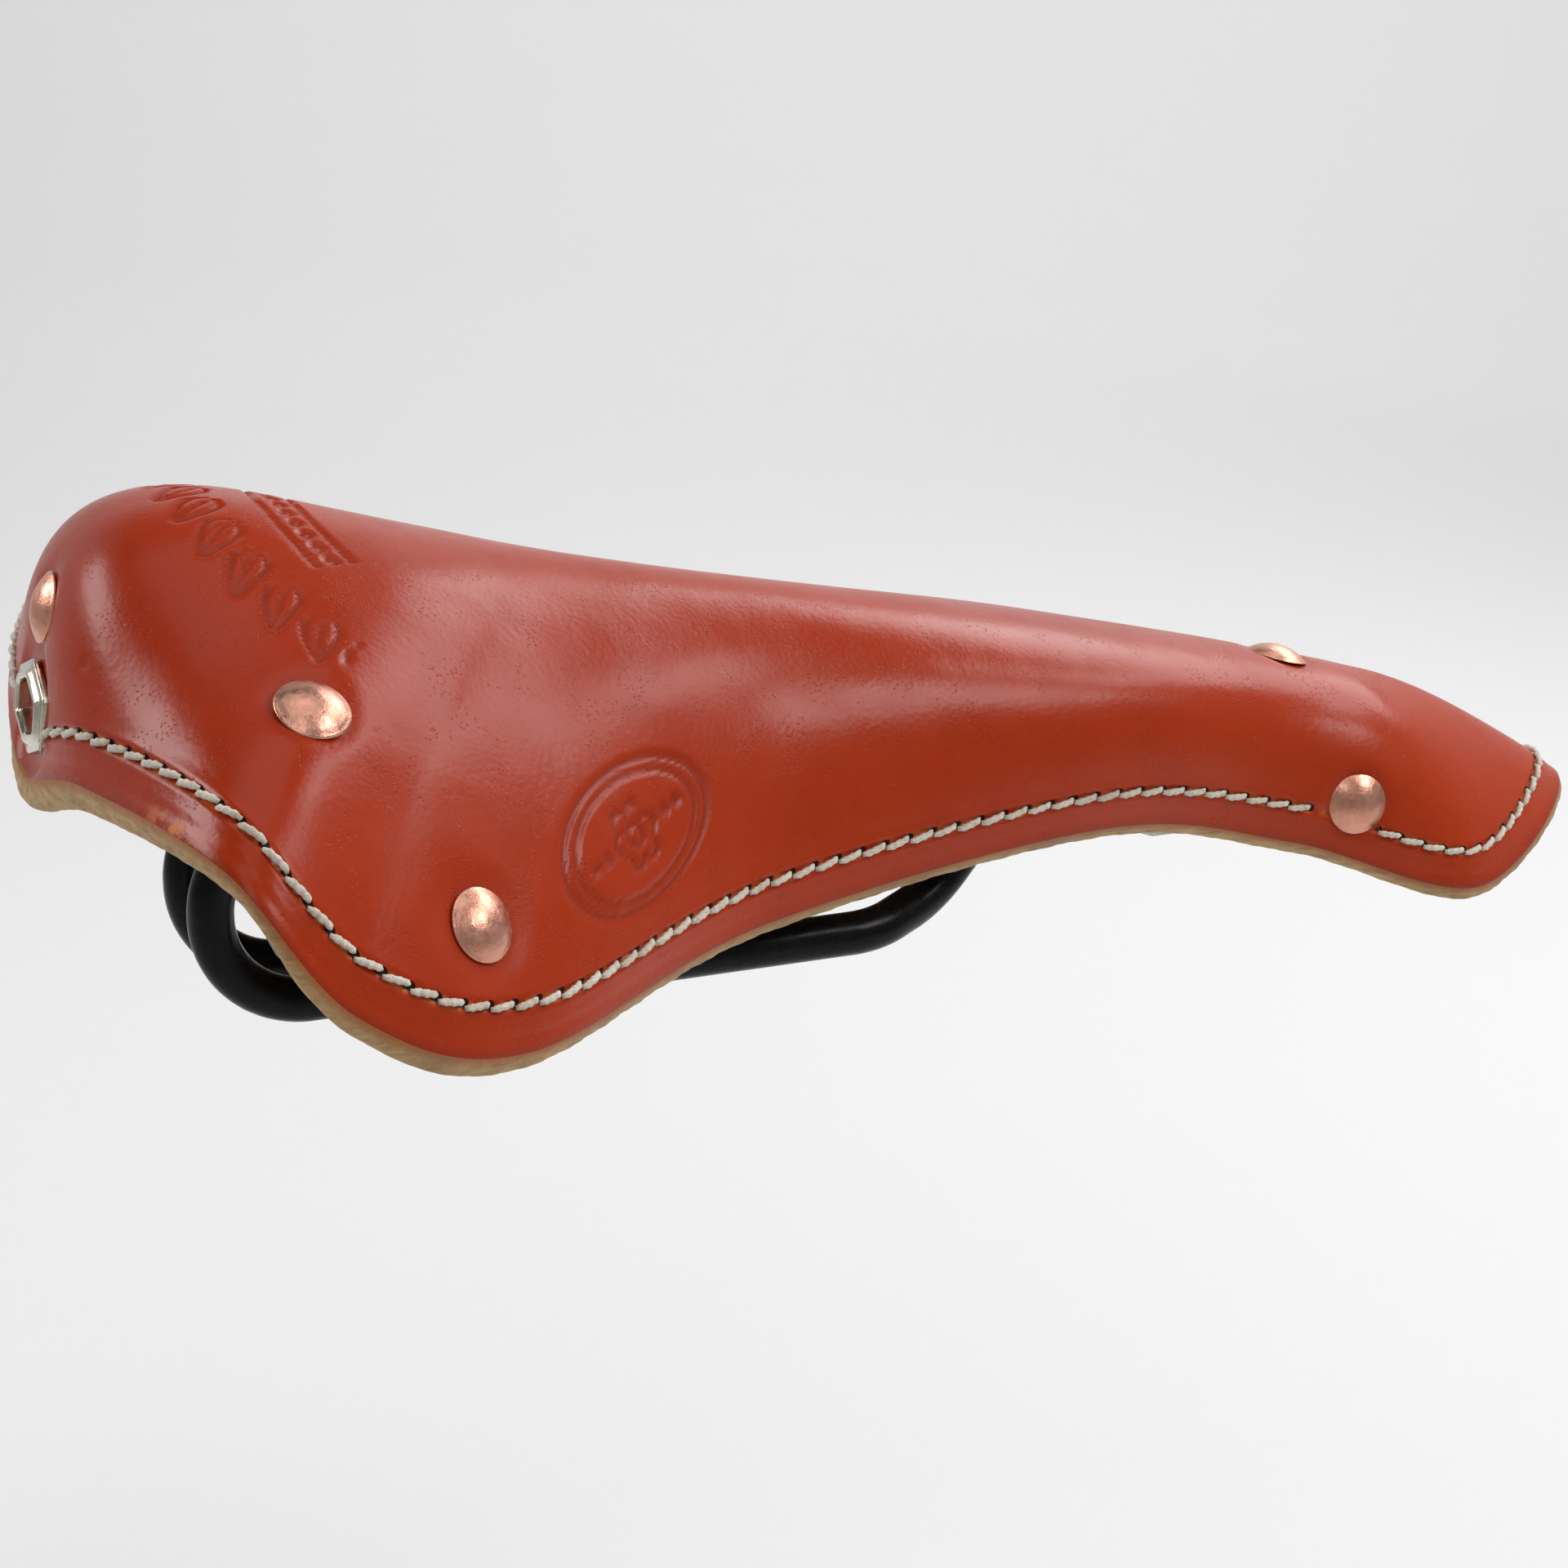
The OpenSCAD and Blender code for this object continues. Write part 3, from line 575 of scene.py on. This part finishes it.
def leather():
    n = len(ts)
    s_grid, up = section_run(ts)
    full = up[:, 0]
    sm = seam_s(ts)
    seam_up = np.array([np.interp(sm[i], s_grid, up[i]) for i in range(n)])
    # rows as arc length up from the rim
    above = np.linspace(0, 1, 92)[:-1]
    band = np.linspace(1.8, -1.8, 13)
    rows = []
    for i in range(n):
        top = seam_up[i] + 1.8
        rows.append(np.r_[full[i] - above * (full[i] - top), seam_up[i] + band,
                          np.linspace(seam_up[i] - 1.8, 3.7, 9)[1:], [3.45, 3.25]])
    rows = np.array(rows)
    m = rows.shape[1]
    s = np.array([np.interp(rows[i], up[i][::-1], s_grid[::-1]) for i in range(n)])
    s[:, 0] = 0
    T = np.repeat(ts[:, None], m, 1)
    P, N = face(T, s), normal(T, s)
    v = seam_up[:, None] - rows
    run = np.interp(np.where(T[:, :1] < seam_start, T[:, :1] + 2, T[:, :1]), seam_t, seam_run) / STEP
    on = np.where(np.abs(ts) > seam_start + 0.004, 1.0, 0.0)[:, None] + 0 * s
    for c in rivet_points[5:]:
        on *= smooth(np.linalg.norm(P - c, axis=-1), 5.6, 6.2)

    depth = 0.28 * bell(v, 0.62) * on - 0.10 * bell(np.abs(v) - 1.5, 0.6) * on
    depth += 0.12 * bell(v - 4.6, 0.8)
    # mask for the painted shade round each rivet dimple
    rivet_shade = 0 * s
    for i, c in enumerate(rivet_points):
        r = np.linalg.norm(P - c, axis=-1)
        wide = 3.4 if i in (3, 4) else 1.7
        dip = np.where(r > 5.0, bell(r - 5.0, wide), 1.0)
        depth += (0.75 if i in (3, 4) else 0.4) * dip
        rivet_shade = np.maximum(rivet_shade, np.where(r > 5.0, bell(r - 5.0, 1.3), 1.0))
    wave = 0.10 * np.sin(P[..., 0] * 0.11 + 1.3) * np.sin(P[..., 1] * 0.13 + P[..., 2] * 0.09)
    depth += wave * smooth(rows, 14, 22)
    # tooling
    tool = tooled_band(P[..., 0], P[..., 1]) * smooth(P[..., 2], 48, 52)
    for c, g in zip(emblem_at, emblem_n):
        ax = basis(g)
        q = P - c
        x, y, z = q @ ax[0], q @ ax[1], q @ ax[2]
        tilt = math.radians(14 if c[1] < 0 else -14)
        x, y = x * math.cos(tilt) + y * math.sin(tilt), -x * math.sin(tilt) + y * math.cos(tilt)
        tool = np.maximum(tool, rosette(x, y) * (np.abs(z) < 9))
    depth += 0.5 * tool
    # window seat
    wc = face(np.array([0.0]), np.array([WINDOW_S]))[0]
    r = np.linalg.norm(P - wc, axis=-1)
    depth += 0.9 * (1 - smooth(r, 9.0, 11.5))
    pin = np.array([-92.4, -21.2, 55.0])
    depth += 0.35 * bell(np.linalg.norm(P - pin, axis=-1), 0.8)
    outer = P - depth[..., None] * N

    # bevelled cut edge, then the flesh side
    cut_up = np.array([2.95, 2.2, 1.4, 0.65, 0.12, 0.0, 0.2, 0.8])
    cut_in = np.array([0.12, 0.42, 0.8, 1.2, 1.75, 2.6, 3.5, 4.2])
    fray = np.sin(np.arange(n) * 1.7) * 0.06 + np.sin(np.arange(n) * 0.61 + 1) * 0.09
    cut = []
    for u_, d_ in zip(cut_up, cut_in):
        su = np.array([np.interp(max(u_, 0), up[i][::-1], s_grid[::-1]) for i in range(n)])
        q = face(ts, su) - (d_ + fray * (0.2 < d_ < 4))[:, None] * normal(ts, su)
        cut.append(q)
    cut = np.stack(cut, 1)
    low = np.linspace(0, 1, 40)
    inner_rows = 1.2 + low[None, :] * (full[:, None] - 1.2)
    si = np.array([np.interp(inner_rows[i], up[i][::-1], s_grid[::-1]) for i in range(n)])
    si[:, -1] = 0
    Ti = np.repeat(ts[:, None], 40, 1)
    inner = face(Ti, si) - LEATHER_T * normal(Ti, si)
    allv = np.concatenate([outer, cut, inner], 1)
    w = allv.shape[1]
    faces = grid_faces(n, w, loop_n=True, flip=True)
    j = np.tile(np.arange(w - 1), n)
    slot_of = np.where(j < m - 1, 0, np.where(j < m + len(cut_up) - 1, 1, 2))

    def spread(a, b, c):
        return np.concatenate([a, np.full((n, len(cut_up)), b), np.full((n, 40), c)], 1)

    at = {
        "tooling": spread(tool, 0, 0), "rivet_dimple_shade": spread(rivet_shade, 0, 0),
        "edge_near": spread(1 - smooth(rows, 3.2, 5.0), 1, 0),
        "seam_run": spread(run + 0 * s, 0, 0), "seam_side": spread(v, 9, 9), "seam_on": spread(on, 0, 0),
        "scuff": spread(bell(np.linalg.norm(P - np.array([-89.1, -55, 41.6]), axis=-1), 6.0)
                        * bell(rows - 4.2, 1.2), 0, 0),
    }
    depth_at = np.concatenate([np.zeros((n, m)), np.repeat(cut_in[None, :] / 4.5, n, 0), np.ones((n, 40))], 1)
    at["depth"] = depth_at
    ob = make("leather_sheet", allv.reshape(-1, 3), faces, [LEATHER, EDGE, FLESH], None, at, slot_of)
    # weld the ridge of both faces, where the columns of the two sides meet
    bm = bmesh.new()
    bm.from_mesh(ob.data)
    bm.verts.ensure_lookup_table()
    ridge_verts = [bm.verts[i * w + k] for i in range(n) for k in (0, w - 1)]
    bmesh.ops.remove_doubles(bm, verts=ridge_verts, dist=2e-6)
    bm.verts.ensure_lookup_table()
    bm.normal_update()
    bm.to_mesh(ob.data)
    bm.free()
    ob.data.shade_smooth()
    return ob


leather_ob = leather()
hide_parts("leather_top")
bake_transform(leather_ob)


# ------------------------------------------------------------------ stitching
def stitches():
    parts = []
    rng = np.random.default_rng(7)
    for i in range(STITCHES):
        jit = rng.uniform(-1, 1, 4)
        a = np.linspace(0.07, 0.93, 13)
        t = np.interp((i + a) * STEP, seam_run, seam_t)
        mid = face(t[6:7], seam_s(t[6:7]))[0]
        if min(np.linalg.norm(mid - c) for c in rivet_points[5:]) < RIVET_R + STEP * 0.52:
            continue
        s = seam_s(t)
        p, n = face(t, s), normal(t, s)
        d = np.gradient(p, axis=0)
        d /= np.linalg.norm(d, axis=1)[:, None]
        side = np.cross(n, d)
        k = a * 2 - 1
        slant = (0.42 + 0.07 * jit[0]) * k
        lift = 0.52 - 1.15 * np.abs(k) ** 5 + 0.05 * jit[1]
        line = p + n * lift[:, None] + side * slant[:, None]
        rad = (0.60 + 0.03 * jit[2]) * (1 - 0.42 * np.abs(k) ** 3)
        parts.append(tube(line, rad, 12, 2.3, 2, 0.16))
    # loose frayed end beside the window
    t0 = np.interp(0.2, seam_run, seam_t)
    p0 = face(np.array([t0]), seam_s(np.array([t0])))[0]
    n0 = normal(np.array([t0]), seam_s(np.array([t0])))[0]
    side0 = np.array([0, -1.0, 0])
    down0 = np.cross(side0, n0)
    for du, dv in ((-0.6, -2.4), (0.4, -2.7), (-1.5, -1.6)):
        k = np.linspace(0, 1, 8)[:, None]
        q = p0 + n0 * (0.35 + 0.3 * k) + side0 * du * k - np.sign(down0[2]) * down0 * dv * k * -1
        parts.append(tube(q, 0.26 - 0.12 * np.linspace(0, 1, 8), 8))
    v, f = joined(parts)
    return make("skirt_seam", v, f, THREAD)


seam_ob = stitches()
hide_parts("skirt_stitching")
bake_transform(seam_ob)


# ------------------------------------------------------------------ rivets and burrs
def rivet_profile():
    """Domed head, shank and the upset tail inside the washer."""
    r, h, sink = RIVET_R, 2.0, 0.5
    big = (r * r + h * h) / (2 * h)
    head = [(0, h)]
    for a in np.linspace(0, math.asin((r - 0.35) / big), 16)[1:]:
        head.append((big * math.sin(a), h - big + big * math.cos(a)))
    z = head[-1][1]
    head += [(r - 0.12, z - 0.10), (r, z - 0.26), (r, 0.02), (r - 0.12, 0), (2.3, 0)]
    tail = PLATE_IN + BURR_GAP + BURR_T + 0.8 - sink
    head += [(2.1, -0.2), (2.1, -(tail - 0.85)), (3.0, -(tail - 0.75)), (3.05, -(tail - 0.45)),
             (2.6, -(tail - 0.12)), (1.2, -tail + 0.02), (0, -tail)]
    return [(a, b) for a, b in head[::-1]]


def burr_profile():
    """Flat washer with eased edges."""
    r, t, q = 4.5, BURR_T, 0.18
    return [(2.15, q), (2.3, 0), (r - q, 0), (r, q), (r, t - q), (r - q, t), (2.3, t), (2.15, t - q),
            (2.15, q)]


def placed(profile, places, lift, sides=56):
    v, f = lathe(profile, sides)
    return joined([(on_face(v, t, s, lift), f) for t, s in places])


for name, places, body in (("rear_rivets", REAR_RIVETS, "cantle"), ("nose_rivets", NOSE_RIVETS, "frame")):
    ob = make(name + "_turned", *placed(rivet_profile(), places, -0.5), COPPER, 40)
    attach(ob, body)
    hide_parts(name)
for name, places, body in (("rear_burrs", REAR_RIVETS, "cantle"), ("nose_burrs", NOSE_RIVETS, "frame")):
    ob = make(name + "_turned", *placed(burr_profile(), places, -PLATE_IN - BURR_GAP - BURR_T), COPPER, 40)
    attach(ob, body)
    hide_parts(name)


# ------------------------------------------------------------------ window eyelet
def hexagon(w, h, inset=0.0, corner=0.9, per=5):
    """Outline with corners up and down, rounded; inset shrinks it evenly."""
    pts = np.array([[0, h / 2], [-w / 2, h / 4], [-w / 2, -h / 4],
                    [0, -h / 2], [w / 2, -h / 4], [w / 2, h / 4]])
    pts = pts * np.array([(w - 2 * inset) / w, (h - 2.3 * inset) / h])
    out = []
    for i in range(6):
        a, b, c = pts[i - 1], pts[i], pts[(i + 1) % 6]
        p, q = b + (a - b) / np.linalg.norm(a - b) * corner, b + (c - b) / np.linalg.norm(c - b) * corner
        for k in np.linspace(0, 1, per):
            out.append((1 - k) ** 2 * p + 2 * k * (1 - k) * b + k * k * q)
    return np.array(out)


def loft(rings, closed=True):
    """Rings are (outline, height)."""
    n = len(rings[0][0])
    v = np.concatenate([np.c_[o, np.full(n, z)] for o, z in rings])
    f = grid_faces(len(rings), n, loop_n=closed, loop_m=True, flip=True)
    return v, f.tolist()


def on_window(v, lift=0.0):
    v = np.asarray(v)
    n = normal(np.array([0.0]), np.array([WINDOW_S]))[0]
    z = n / np.linalg.norm(n)
    y = np.array([0, 0, 1.0]) - z[2] * z
    y /= np.linalg.norm(y)
    x = np.cross(y, z)
    return v @ np.array([x, y, z]) + face(np.array([0.0]), np.array([WINDOW_S]))[0] + lift * z


# outer plate, inner window and the rolled lip between them
W, H, w, h = 19.0, 14.5, 12.5, 8.5
ow, oh = w + 3.0, h + 3.0
base = -0.6
BACK_DEPTH = PLATE_IN + 1.5 + 0.8
barrel = BACK_DEPTH + 0.4
eye = [
    (hexagon(W, H), base), (hexagon(W, H), base + 0.72), (hexagon(W, H, 0.1), base + 0.92),
    (hexagon(W, H, 0.3), base + 1.0), (hexagon(ow, oh, -0.55, 1.2), base + 1.0),
    (hexagon(ow, oh, -0.2, 1.2), base + 1.1), (hexagon(ow, oh, 0.02, 1.1), base + 1.4),
    (hexagon(ow, oh, 0.3, 1.0), base + 1.68), (hexagon(ow, oh, 0.7, 0.95), base + 1.8),
    (hexagon(ow, oh, 1.15, 0.9), base + 1.7), (hexagon(w, h, 0.0, 0.9), base + 1.35),
    (hexagon(w, h, 0.0, 0.8), base + 0.5), (hexagon(w, h, 0.0, 0.8), -barrel + 0.1),
    (hexagon(w, h, -0.4, 0.8), -barrel), (hexagon(w, h, -0.8, 0.8), -barrel + 0.2),
    (hexagon(w, h, -0.8, 0.8), base - 0.05)]
v, f = loft(eye)
eyelet = make("eyelet_rolled", on_window(v), f, NICKEL, 42)
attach(eyelet, "cantle")
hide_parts("eyelet_plate")
z0 = -BACK_DEPTH - 0.2
outer, eased, inner = hexagon(W - 2, H - 2), hexagon(W - 2, H - 2, 0.12), hexagon(w, h, -0.87, 0.8)
ring = [(outer, z0 + 0.12), (outer, z0 + 0.68), (eased, z0 + 0.8),
        (inner, z0 + 0.8), (inner, z0), (eased, z0)]
v, f = loft(ring)
back = make("eyelet_ring", on_window(v), f, NICKEL, 42)
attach(back, "cantle")
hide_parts("eyelet_back")

# ------------------------------------------------------------------ rails
# corners of the right rail with their bend radii; the left one is mirrored
RIGHT = [
    ((-38, -8, 26), 0), ((-73.5, -8, 26), 15), ((-73.5, -8, -4.5), 15), ((-52, -8, -4.5), 15),
    ((-34, -22, 0), 15), ((30, -22, 0), 18), ((43, -15.5, 2), 18), ((56, -12, 15), 18),
    ((86, -7, 12), 30), ((112, -7, 12), 0)]
line = bent(RIGHT, 2.0)
fine = []
for k in range(len(line) - 1):
    m = max(1, int(np.linalg.norm(line[k + 1] - line[k]) // 6))
    fine += [line[k] + (line[k + 1] - line[k]) * q / m for q in range(m)]
line = np.array(fine + [line[-1]])
for name, g in (("rail_right", 1), ("rail_left", -1)):
    v, f = tube(line * [1, g, 1], WIRE_R, 48)
    ob = make(name + "_wire", v, f, BLACK, 50)
    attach(ob, "frame")
    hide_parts(name)


# ------------------------------------------------------------------ pressed plates under the leather
def plate(name, t0, t1, s0, s1, d0, d1, nt, ns, zipped=False):
    """A plate between two depths under the face; zipped welds its two halves at the ridge."""
    t = np.linspace(t0, t1, nt)[:, None] + np.zeros((1, ns))
    s = np.linspace(s0, s1, ns)[None, :] + np.zeros((nt, 1))
    p, n = face(t, s), normal(t, s)
    top, low = p - d0 * n, p - d1 * n
    v = np.concatenate([top.reshape(-1, 3), low.reshape(-1, 3)])
    k = nt * ns
    f = grid_faces(nt, ns).tolist() + grid_faces(nt, ns, start=k, flip=True).tolist()
    for i in range(nt - 1):
        a, b = i * ns + ns - 1, (i + 1) * ns + ns - 1
        f.append([a, b, b + k, a + k])
        if not zipped:
            a, b = i * ns, (i + 1) * ns
            f.append([b, a, a + k, b + k])
    for j in range(ns - 1):
        f.append([j, j + 1, j + 1 + k, j + k])
        a = (nt - 1) * ns + j
        f.append([a + 1, a, a + k, a + 1 + k])
    ob = make(name, v, f, STEEL)
    bm = bmesh.new()
    bm.from_mesh(ob.data)
    if zipped:
        bmesh.ops.remove_doubles(bm, verts=bm.verts, dist=2e-6)
    bmesh.ops.recalc_face_normals(bm, faces=bm.faces)
    sharp = [e for e in bm.edges if len(e.link_faces) == 2 and e.calc_face_angle() > math.radians(60)]
    bmesh.ops.bevel(bm, geom=sharp, offset=0.00035, segments=2, affect="EDGES", clamp_overlap=True)
    bmesh.ops.dissolve_degenerate(bm, dist=2e-6, edges=bm.edges)
    bm.to_mesh(ob.data)
    bm.free()
    ob.data.shade_smooth()
    ob.data.set_sharp_from_angle(angle=math.radians(50))
    return ob


horn = plate("nose_horn_pressed", 0.7, 1.3, 0.0, 0.86, PLATE_OUT, PLATE_IN, 97, 33, zipped=True)
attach(horn, "frame")
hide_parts("nose_horn")

# CAD nodes that stay, each with its material
for n, m in (("cantle_plate", STEEL), ("nut_bracket", STEEL), ("nose_web", STEEL), ("rail_bridge", BLACK),
             ("rail_clip", BLACK), ("thrust_cup", ZINC), ("tension_nut", ZINC), ("tension_bolt", ZINC),
             ("clip_bolts", PLAIN_ZINC), ("clip_nuts", PLAIN_ZINC)):
    ob = nodes[n]
    for k in range(max(1, len(ob.material_slots))):
        if not ob.material_slots:
            ob.data.materials.append(m)
        ob.material_slots[k].link = "OBJECT"
        ob.material_slots[k].material = m

# ------------------------------------------------------------------ camera, floor and light
az, el, roll = map(math.radians, (24.94, 18.55, 1.92))
D = np.array([math.sin(az) * math.cos(el), math.cos(az) * math.cos(el), -math.sin(el)])
R = np.array([math.cos(az), -math.sin(az), 0])
U = np.cross(R, D)
R2, U2 = R * math.cos(roll) + U * math.sin(roll), -R * math.sin(roll) + U * math.cos(roll)
cam = bpy.data.objects.new("camera", bpy.data.cameras.new("camera"))
bpy.context.scene.collection.objects.link(cam)
place = np.eye(4)
place[:3, 0], place[:3, 1], place[:3, 2] = R2, U2, -D
place[:3, 3] = np.array([-159.0, -392.1, 163.5]) * MM
cam.matrix_world = Matrix(place.tolist())
cam.data.lens, cam.data.sensor_width = 63.86, 36.0
cam.data.clip_start = 0.01
bpy.context.scene.camera = cam

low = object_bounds()[0].z
floor_material = Mat("floor_plain")
floor_material.set(Base_Color=(0.82, 0.82, 0.82, 1), Roughness=0.95)
floor_material.p.inputs["Specular IOR Level"].default_value = 0.1
bowl = [(0, 0), (500, 0), (1500, 0), (2500, 0)]
bowl += [(2500 + 1500 * math.sin(k), 1500 - 1500 * math.cos(k)) for k in np.linspace(0.08, 1.57, 16)]
v, f = lathe(bowl + [(4000, 2600), (4000, 4200)], 96)
floor = make("floor", v + [0, 0, low / MM - 260], f, floor_material.m)


def lamp(name, at, aim, size, power, colour=(1, 1, 1)):
    data = bpy.data.lights.new(name, "AREA")
    data.shape, data.size, data.size_y = "RECTANGLE", size[0], size[1]
    data.energy, data.color = power, colour
    ob = bpy.data.objects.new(name, data)
    bpy.context.scene.collection.objects.link(ob)
    z = np.array(at, float) - np.array(aim, float)
    m = np.eye(4)
    m[:3, :3] = basis(z).T
    m[:3, 3] = at
    ob.matrix_world = Matrix(m.tolist())
    return ob


lamp("key", (0.72, -0.62, 0.8), (0.03, 0, 0.03), (0.5, 0.3), 4.2)
lamp("right_back", (0.95, 0.45, 0.75), (0, 0, 0.03), (0.9, 0.5), 5.9)
lamp("left_back", (-0.9, 0.6, 0.62), (-0.05, 0, 0.02), (0.5, 0.4), 4.6)
lamp("side", (0.95, -0.13, 0.95), (0, 0, 0.03), (0.3, 0.25), 1.7)
lamp("front", (-0.35, -0.8, 0.9), (-0.03, 0, 0.02), (0.5, 0.5), 1.3)
lamp("room", (0, 0, 3.4), (0, 0, 0), (3.0, 3.0), 32)
lamp("wall", (0.9, 1.5, 2.2), (1.7, 3.6, 0.5), (1.6, 0.8), 40)
world = bpy.data.worlds.new("studio")
world.use_nodes = True
world.node_tree.nodes["Background"].inputs[0].default_value = (1, 1, 1, 1)
world.node_tree.nodes["Background"].inputs[1].default_value = 0.1
bpy.context.scene.world = world
bpy.context.scene.view_settings.view_transform = "Standard"
